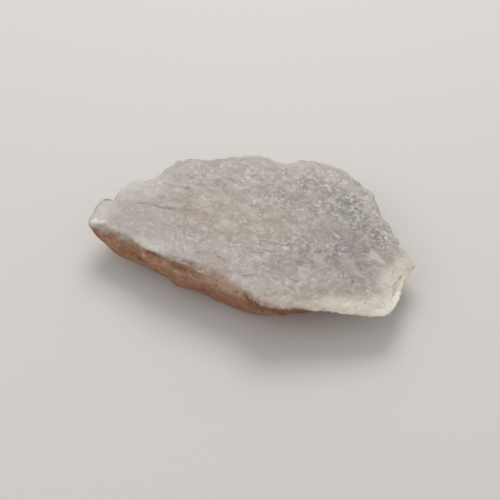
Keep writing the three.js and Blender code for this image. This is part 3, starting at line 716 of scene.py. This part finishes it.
masks = {
    "grainy": broken * np.clip(grainy, 0, 1),
    "crystal": broken * np.clip(grainy * added(shares["crystal"], all=1, crystalline=crystalline), 0, 1),
    "creased": broken * np.clip(grainy, 0, 1) * patchy("creased", grainSpace) * (1 - creamCorner),
    "milky": broken * (grainy * milky + frontRim * picked("rimMiddle")),
    "shady": broken * grainy * shady,
    "sparkle": broken * sparkle,
    # painted light on raised grains and painted shade in the hollows between them
    "high": broken * grainy * smoothstep(*zones["high"], hollowness),
    "hollowShade": broken * grainy * smoothstep(*zones["hollowShade"], hollowness),
    "grainTone": sum(tones) / len(tones),
    "strip": strip,
    "lobe": lobe,
    "cream": creamCorner,
    "facet": facet,
    "sunkenShade": sunkenShade,
    # darker along the cracks and lines, and painted shade in the pits
    "dark": up * np.clip(added(shares["dark"], splitCrack=splitCrack, edgeCrack=edgeCrack,
                               darkLines=darkLines, pits=pits), 0, 1),
    "pale": paleLines,
    "rim": rim,
    "glassRim": glassRim * without("glassInGlitter", glitter),
    "frontRim": frontRim * added(shares["frontRim"], all=1, middle=middleTone, coarse=coarseTone),
    "creamEdge": alongRim("creamEdge") * past("creamLeft") * past("creamBack"),
    # bruised white edges, and painted glints on them
    "whiteEdgeGlint": (np.clip(up + atDepth("whiteEdgeGlint") * past("whiteLeft"), 0, 1)
                    * spots(places["whiteEdgeGlint"]) * uneven("whiteEdgeGlint")),
    "blush": up * np.clip(added(shares["blush"], side=sideNear * stainReach, fade=frontFade), 0, 1),
    "moss": added(shares["moss"], spots=spots(places["moss"]) * atDepth("moss"),
                  dirt=frontFade * past("mossRight") * sides * rimDirt),
    "yellow": spots(places["yellow"]),
    "side": worn,
    "breakSide": brokenSide,
    "stain": (np.clip(added(shares["stain"], front=frontSide * stainReach, back=backStain), 0, 1)
              * atDepth("stain")),
    "deepStain": frontSide * stainReach * atDepth("deepStain"),
    # iron stain under the front rim, painted dark as shade of the overhang
    "orange": (np.clip(added(shares["orange"], side=sides, rim=sideNear), 0, 1) * past("orangeBack")
               * past("orangeLeft") * past("orangeRight") * past("orangeFront") * atDepth("orange")
               * uneven("orange")),
    # cream rock on the sides under the right end, painted darker as shade of the side face
    "creamSide": sides * past("creamSideLeft") * past("creamSideBack") * atDepth("creamSide"),
}
masks |= {name: up * spots(places[name]) for name in ("bruised", "tip", "warm", "lilac", "grey", "olive")}
masks |= {name: frontMost * spots(ovals, x, down) for name, ovals in frontPlaces.items()
          if name not in ("bumps", "dips")}
for name, values in masks.items():
    attribute = slab.data.attributes.new(name, "FLOAT", "POINT")
    attribute.data.foreach_set("value", np.clip(values, 0, 1).astype(np.float32))
slab.data.shade_smooth()
print("masks written:", len(masks))


# Massive calcite, broken and sugary. The eye sees soft depth: light goes a millimetre into the rock, so
# its grains look cloudy rather than painted, their flat faces catch the light, and the thin edges and
# the iron stain on the worn flank look warm and waxy.
# Some light is painted into the colour as well: glints on crystals, the glow of thin edges, and shade in
# hollows, pits and under the front rim.
calcite = {
    "base": "#a69c96",        # grains that light passes through, pinkish grey
    "patterns": {             # size in mm, stretch along the lineation, detail, distortion
        "broad": (10.0, 1.2, 3.0, 0.4),
        "cloud": (2.8, 1.3, 3.0, 0.8),
        "fleck": (0.95, 1.5, 2.0, 1.4),
        "crease": (1.9, 1.7, 2.0, 0.7),
        "stainCloud": (2.4, 1.15, 4.0, 1.1),
        "stainSpeck": (0.9, 1.2, 3.0, 1.2),
        "stainGrit": (0.5, 1.3, 2.0, 0.8),
    },
    "layers": [               # colour, what it follows, from, to, most, where it shows
        ("#ab9f92", "broad", 0.42, 0.62, 0.7, None),
        ("#ac9e8c", "warm", 0.0, 1.0, 0.75, None),
        ("#8b8081", "lilac", 0.0, 1.0, 0.75, None),
        ("#8d8882", "grey", 0.0, 1.0, 0.85, None),
        ("#b4aaa6", "strip", 0.0, 1.0, 0.9, None),
        ("#dfd9d4", "tip", 0.0, 1.0, 0.8, None),
        ("#d2cbc4", "lobe", 0.0, 1.0, 0.85, None),
        ("#e9dfd1", "cream", 0.0, 1.0, 0.9, None),
        ("#bdb4aa", "breakSide", 0.0, 1.0, 0.8, None),
        ("#817666", "olive", 0.0, 1.0, 0.8, None),
        ("#cfcac3", "bruised", 0.0, 1.0, 0.6, None),
        ("#cfc6c2", "fleck", 0.5, 0.66, 0.45, "strip"),
        ("#9b918d", "cloud", 0.46, 0.3, 0.2, "strip"),
        ("#c6beb7", "cloud", 0.48, 0.62, 0.48, "grainy"),
        ("#d6cfc8", "fleck", 0.57, 0.68, 0.38, "grainy"),
        ("#d6cfc8", "network", 0.15, 0.02, 0.14, "crystal"),
        # painted shade on shallow places
        ("#8a8178", "sunkenShade", 0.0, 1.0, 0.6, None),
        ("#6f6661", "crease", 0.03, 0.005, 0.32, "creased"),
        ("#7f7673", "shady", 0.0, 1.0, 0.3, None),
        ("#e2dbd5", "milky", 0.0, 1.0, 0.6, None),
        # painted glints on crystals that catch the light, and painted shade on clear ones that let it through
        ("#ebe6e1", "spark", 0.74, 0.84, 0.6, "sparkle"),
        ("#857b76", "spark", 0.26, 0.18, 0.22, "sparkle"),
        # painted light on raised grains, with their bruised whitening, and painted shade in the hollows
        ("#d6cfc8", "high", 0.0, 1.0, 0.2, None),
        ("#8a807b", "hollowShade", 0.0, 1.0, 0.2, None),
        # painted glow of the thin translucent edges along the rims
        ("#cecbc2", "glassRim", 0.2, 0.9, 0.75, None),
        ("#d9d3cb", "rim", 0.15, 1.0, 0.35, None),
        ("#e0dad3", "frontRim", 0.1, 0.9, 0.6, None),
        ("#cfc6c1", "facet", 0.0, 1.0, 0.95, None),
        ("#a8917d", "blush", 0.0, 0.8, 0.85, None),
        ("#e6d9bd", "creamEdge", 0.2, 0.8, 0.6, None),
        # bruised white edges, and painted glints on them
        ("#fbf2e4", "whiteEdgeGlint", 0.0, 1.0, 0.9, None),
        ("#c4bbaf", "side", 0.0, 1.0, 1.0, None),
        ("#a37451", "stain", 0.0, 1.0, 1.0, None),
        ("#c9a085", "stainSpeck", 0.54, 0.68, 0.5, "stain"),
        ("#85502a", "stainCloud", 0.46, 0.66, 0.8, "stain"),
        ("#83602f", "stainSpeck", 0.45, 0.31, 0.6, "stain"),
        ("#5f3a1c", "stainGrit", 0.58, 0.68, 0.34, "stain"),
        ("#d2ab90", "stainGrit", 0.42, 0.32, 0.28, "stain"),
        ("#8a5230", "deepStain", 0.0, 1.0, 0.45, None),
        ("#cbab95", "paleFlank", 0.0, 1.0, 0.8, None),
        ("#a57f4e", "ochre", 0.0, 1.0, 0.7, None),
        ("#a86045", "red", 0.0, 1.0, 0.6, None),
        ("#d0a48b", "pink", 0.0, 1.0, 0.7, None),
        ("#683815", "brown", 0.0, 1.0, 0.85, None),
        ("#a99872", "oliveBand", 0.0, 1.0, 0.85, None),
        ("#6e6341", "moss", 0.0, 1.0, 0.75, None),
        # iron stain under the front rim, painted dark as shade of the overhang
        ("#7c430f", "orange", 0.0, 1.0, 0.88, None),
        # cream rock on the sides under the right end, painted darker as shade of the side face
        ("#bfb196", "creamSide", 0.0, 1.0, 0.8, None),
        ("#c6b876", "yellow", 0.0, 1.0, 0.9, None),
        ("#675d55", "dark", 0.0, 1.0, 0.7, None),
        # pale streaks of whitish crystals, and painted glints at the right front corner and the left end
        ("#f6f0ea", "pale", 0.0, 1.0, 0.8, None),
    ],
    "crystal": 1.4,           # mm, grains whose bruised edges show as a pale network
    "crystalWarp": 0.3,       # share of a grain that this network wanders
    "crystalWaves": 1.3,      # waves of it to a grain
    "ior": 1.6,               # between the 1.49 and 1.66 of calcite
    "roughness": (0.36, 0.58),    # of the clearest and the dullest grains
    "dullness": (0.25, 0.75),    # the grains' mean numbers that these stand for
    "translucency": 0.5,      # share of the light that goes in
    "depth": 0.9,             # mm, how far it goes
    "depthShares": (1.0, 0.72, 0.55),    # of that, for red, green and blue
    "spark": 0.4,             # mm, single crystals that catch the light or let it through
    "sugar": 0.42,            # mm, the finest grains, drawn in the bump
    "sugarHeight": 0.05,      # mm
    "sugarStrength": 0.3,     # of the bump, also of the flecks in it
    "sugarCalm": 0.8,         # share of it that the smooth strip and the worn flank lose
}


def addNode(tree, kind, settings=None, links=None):    # both go by a field's or a socket's name
    node = tree.nodes.new(kind)
    for key, value in (settings or {}).items():
        if isinstance(key, str) and hasattr(node, key):
            setattr(node, key, value)
        else:
            node.inputs[key].default_value = value
    for key, source in (links or {}).items():
        tree.links.new(source, node.inputs[key])
    return node


def massiveCalcite():
    material = bpy.data.materials.new("massive calcite, broken")
    material.use_nodes = True
    tree = material.node_tree
    shader = tree.nodes["Principled BSDF"]
    where = addNode(tree, "ShaderNodeTexCoord").outputs["Object"]
    turn = -math.radians(stone["lineationTurn"])
    turned = addNode(tree, "ShaderNodeMapping", {"Rotation": (0, 0, turn)}, {"Vector": where}).outputs[0]

    found = {}                # the patterns and masks, by name
    for name, (size, stretch, detail, distortion) in calcite["patterns"].items():
        scale = 1 / (size * mm)
        scaled = addNode(tree, "ShaderNodeMapping", {"Scale": (scale / stretch, scale, scale)},
                         {"Vector": turned}).outputs[0]
        found[name] = addNode(tree, "ShaderNodeTexNoise",
                              {"Scale": 1.0, "Detail": detail, "Distortion": distortion},
                              {"Vector": scaled}).outputs[0]
    for name in masks:
        found[name] = addNode(tree, "ShaderNodeAttribute", {"attribute_name": name}).outputs["Fac"]

    # Creases run where their noise crosses its middle
    offMiddle = addNode(tree, "ShaderNodeMath", {"operation": "SUBTRACT", 1: 0.5},
                        {0: found["crease"]}).outputs[0]
    found["crease"] = addNode(tree, "ShaderNodeMath", {"operation": "ABSOLUTE"}, {0: offMiddle}).outputs[0]

    # The network of bruised grain edges, and the single crystals
    scale = 1 / (calcite["crystal"] * mm)
    warp = calcite["crystalWarp"] / scale
    drift = addNode(tree, "ShaderNodeTexNoise", {"Scale": calcite["crystalWaves"] * scale, "Detail": 1.0},
                    {"Vector": turned}).outputs["Color"]
    pushed = addNode(tree, "ShaderNodeVectorMath", {"operation": "MULTIPLY_ADD", 1: (warp, warp, warp)},
                     {0: drift, 2: turned}).outputs[0]
    found["network"] = addNode(tree, "ShaderNodeTexVoronoi", {"feature": "DISTANCE_TO_EDGE", "Scale": scale},
                               {"Vector": pushed}).outputs["Distance"]
    stretched = addNode(tree, "ShaderNodeMapping", {"Scale": (1 / stone["grainStretch"], 1, 1)},
                        {"Vector": turned}).outputs[0]
    found["spark"] = addNode(tree, "ShaderNodeTexVoronoi", {"Scale": 1 / (calcite["spark"] * mm)},
                             {"Vector": stretched}).outputs["Color"]

    # Each layer is mixed over those before it
    colour = None
    for hexColour, source, start, full, most, shownOn in calcite["layers"]:
        share = addNode(tree, "ShaderNodeMapRange",
                        {"interpolation_type": "SMOOTHSTEP", "From Min": start, "From Max": full,
                         "To Max": most},
                        {"Value": found[source]}).outputs[0]
        if shownOn:
            share = addNode(tree, "ShaderNodeMath", {"operation": "MULTIPLY"},
                            {0: share, 1: found[shownOn]}).outputs[0]
        under = {6: colour} if colour else {}
        colour = addNode(tree, "ShaderNodeMix",
                         {"data_type": "RGBA", 6: toLinear(calcite["base"]), 7: toLinear(hexColour)},
                         {0: share} | under).outputs[2]
    tree.links.new(colour, shader.inputs["Base Color"])

    clear, dull = calcite["roughness"]
    start, full = calcite["dullness"]
    roughness = addNode(tree, "ShaderNodeMapRange",
                        {"From Min": start, "From Max": full, "To Min": clear, "To Max": dull},
                        {"Value": found["grainTone"]}).outputs[0]
    tree.links.new(roughness, shader.inputs["Roughness"])
    shader.inputs["IOR"].default_value = calcite["ior"]
    shader.inputs["Subsurface Weight"].default_value = calcite["translucency"]
    shader.inputs["Subsurface Radius"].default_value = calcite["depthShares"]
    shader.inputs["Subsurface Scale"].default_value = calcite["depth"] * mm

    # The finest grains are a bump, and the strip and the worn flank have less of it
    sugar = addNode(tree, "ShaderNodeTexVoronoi", {"Scale": 1 / (calcite["sugar"] * mm)},
                    {"Vector": turned}).outputs["Distance"]
    calm = addNode(tree, "ShaderNodeMath", {"operation": "ADD"},
                   {0: found["strip"], 1: found["side"]}).outputs[0]
    rough = addNode(tree, "ShaderNodeMath", {"operation": "MULTIPLY_ADD", 1: -calcite["sugarCalm"], 2: 1.0},
                    {0: calm}).outputs[0]
    height = addNode(tree, "ShaderNodeMath", {"operation": "MULTIPLY"}, {0: sugar, 1: rough}).outputs[0]
    bump = {"Strength": calcite["sugarStrength"], "Distance": calcite["sugarHeight"] * mm}
    coarse = addNode(tree, "ShaderNodeBump", bump, {"Height": height}).outputs[0]
    fine = addNode(tree, "ShaderNodeBump", bump, {"Height": found["fleck"], "Normal": coarse}).outputs[0]
    tree.links.new(fine, shader.inputs["Normal"])
    return material


slab.data.materials.clear()
slab.data.materials.append(massiveCalcite())
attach(slab, "root")
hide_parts(nodeName)
print("calcite finished")


# Floor, light and camera
studio = {
    "floor": "#e4e1dd",
    "floorRoughness": 0.8,
    "floorSize": 2000,        # mm
    "lens": 82.8,             # mm on a 36 mm sensor
    "nearest": 10,            # mm, nothing closer is drawn
    "azimuth": -90,           # degrees from +X, where the camera stands
    "elevation": 52.0,        # degrees above the floor
    "distance": 230.0,        # mm from the point it looks at
    "lookAt": (-0.23, -1.75, 5.0),    # mm
    "lights": [               # name, azimuth, elevation, distance mm, size mm, watts, colour
        ("key, behind", 86, 52, 420, 260, 0.72, "#fffaf4"),
        ("fill, left", 200, 40, 500, 300, 0.18, "#f6f7ff"),
    ],
    "sky": "#eceef0",
    "skyStrength": 0.6,
}


def stand(thing, azimuth, elevation, distance):    # turned to the point that the camera looks at
    a, e = math.radians(azimuth), math.radians(elevation)
    away = Vector((math.cos(e) * math.cos(a), math.cos(e) * math.sin(a), math.sin(e)))
    lookAt = Vector(studio["lookAt"]) * mm
    thing.location = lookAt + away * distance * mm
    thing.rotation_euler = (lookAt - thing.location).to_track_quat("-Z", "Y").to_euler()
    bpy.context.scene.collection.objects.link(thing)


def paleFloor():
    half = studio["floorSize"] * mm / 2
    corners = [(-half, -half, 0), (half, -half, 0), (half, half, 0), (-half, half, 0)]
    mesh = bpy.data.meshes.new("floor")
    mesh.from_pydata(corners, [], [(0, 1, 2, 3)])
    floor = bpy.data.objects.new("floor", mesh)
    bpy.context.scene.collection.objects.link(floor)
    paint = bpy.data.materials.new("matt painted board")
    paint.use_nodes = True
    shader = paint.node_tree.nodes["Principled BSDF"]
    shader.inputs["Base Color"].default_value = toLinear(studio["floor"])
    shader.inputs["Roughness"].default_value = studio["floorRoughness"]
    mesh.materials.append(paint)


def lightStudio():
    for name, azimuth, elevation, distance, size, watts, colour in studio["lights"]:
        lamp = bpy.data.lights.new(name, "AREA")
        lamp.shape = "DISK"
        lamp.size = size * mm
        lamp.energy = watts
        lamp.color = toLinear(colour)[:3]
        stand(bpy.data.objects.new(name, lamp), azimuth, elevation, distance)
    world = bpy.data.worlds.new("soft sky")
    world.use_nodes = True
    sky = world.node_tree.nodes["Background"]
    sky.inputs["Color"].default_value = toLinear(studio["sky"])
    sky.inputs["Strength"].default_value = studio["skyStrength"]
    bpy.context.scene.world = world


def placeCamera():
    lens = bpy.data.cameras.new("camera")
    lens.lens = studio["lens"]
    lens.clip_start = studio["nearest"] * mm
    camera = bpy.data.objects.new("camera", lens)
    stand(camera, studio["azimuth"], studio["elevation"], studio["distance"])
    bpy.context.scene.camera = camera


paleFloor()
lightStudio()
placeCamera()
bpy.context.scene.view_settings.view_transform = "Standard"
print("studio set")
